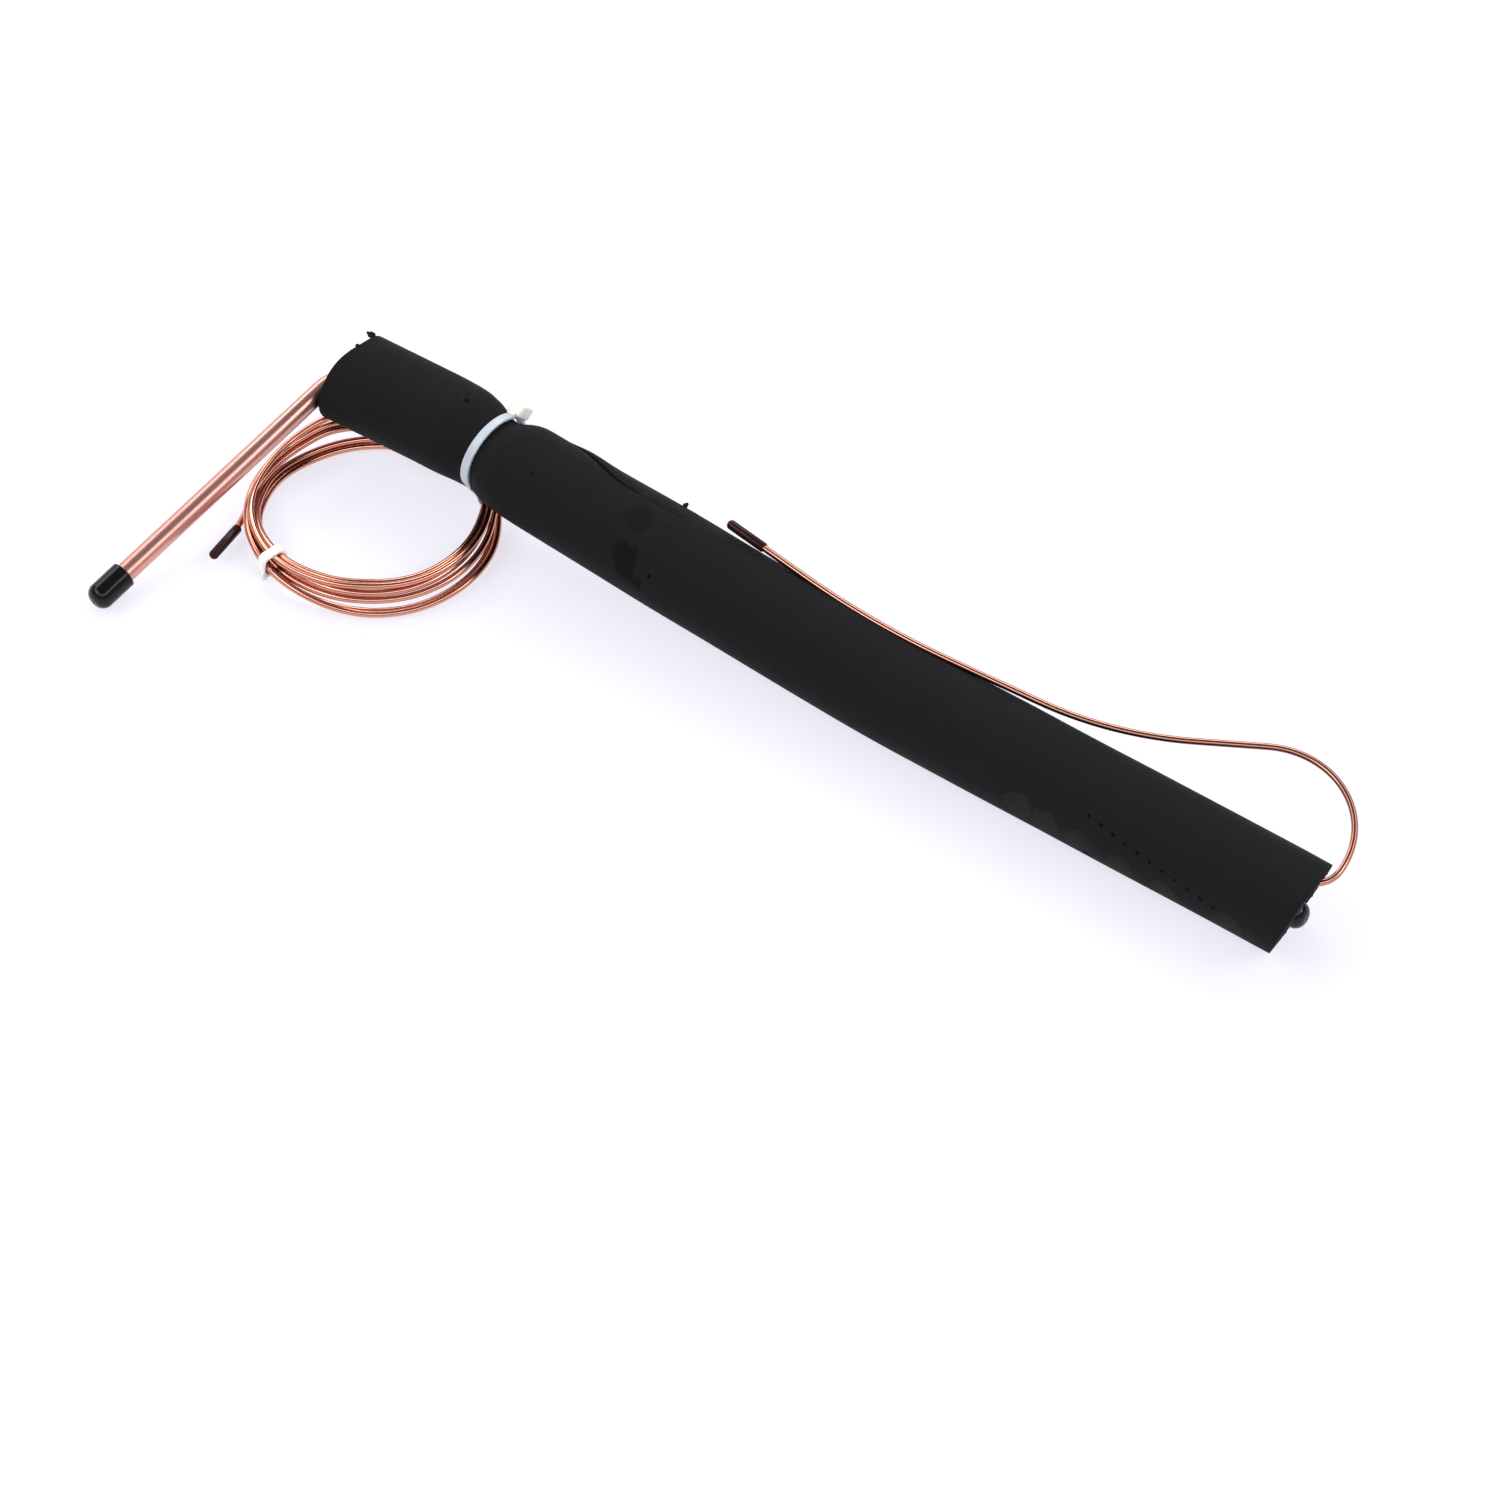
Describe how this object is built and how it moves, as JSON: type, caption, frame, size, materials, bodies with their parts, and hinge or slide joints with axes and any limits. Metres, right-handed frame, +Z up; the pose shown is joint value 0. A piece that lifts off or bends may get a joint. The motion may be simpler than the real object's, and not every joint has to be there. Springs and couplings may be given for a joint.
{
  "type": "suction line heat exchanger with capillary coil",
  "caption": "Copper suction tube in a slit foam sleeve, with a thin copper capillary coiled and tied under one end, run through the sleeve and laid back along it; ends capped.",
  "frame": {"origin": "middle of the floor plan, at floor height, as the part lies", "axes": "+X along the sleeve from the coil end to the plain end, +Y away from the side the suction tube's arm points to, +Z up"},
  "size_m": [0.3557, 0.1399, 0.0379],
  "materials": {
    "suction_copper": "satin drawn copper",
    "capillary_copper": "bright drawn copper",
    "foam": "matte closed-cell foam skin",
    "clear_nylon": "milky translucent",
    "white_nylon": "white",
    "black_vinyl": "glossy dipped vinyl",
    "brown_vinyl": "glossy dipped vinyl"
  },
  "bodies": {
    "root": {"suction_tube": "suction_copper", "capillary_coil": "capillary_copper", "capillary_run": "capillary_copper", "sleeve_short": "foam", "sleeve_long": "foam", "sleeve_tie": "clear_nylon", "coil_tie": "white_nylon", "suction_cap_inlet": "black_vinyl", "suction_cap_outlet": "black_vinyl", "capillary_cap_coil": "brown_vinyl", "capillary_cap_tail": "brown_vinyl"}
  },
  "joints": []
}
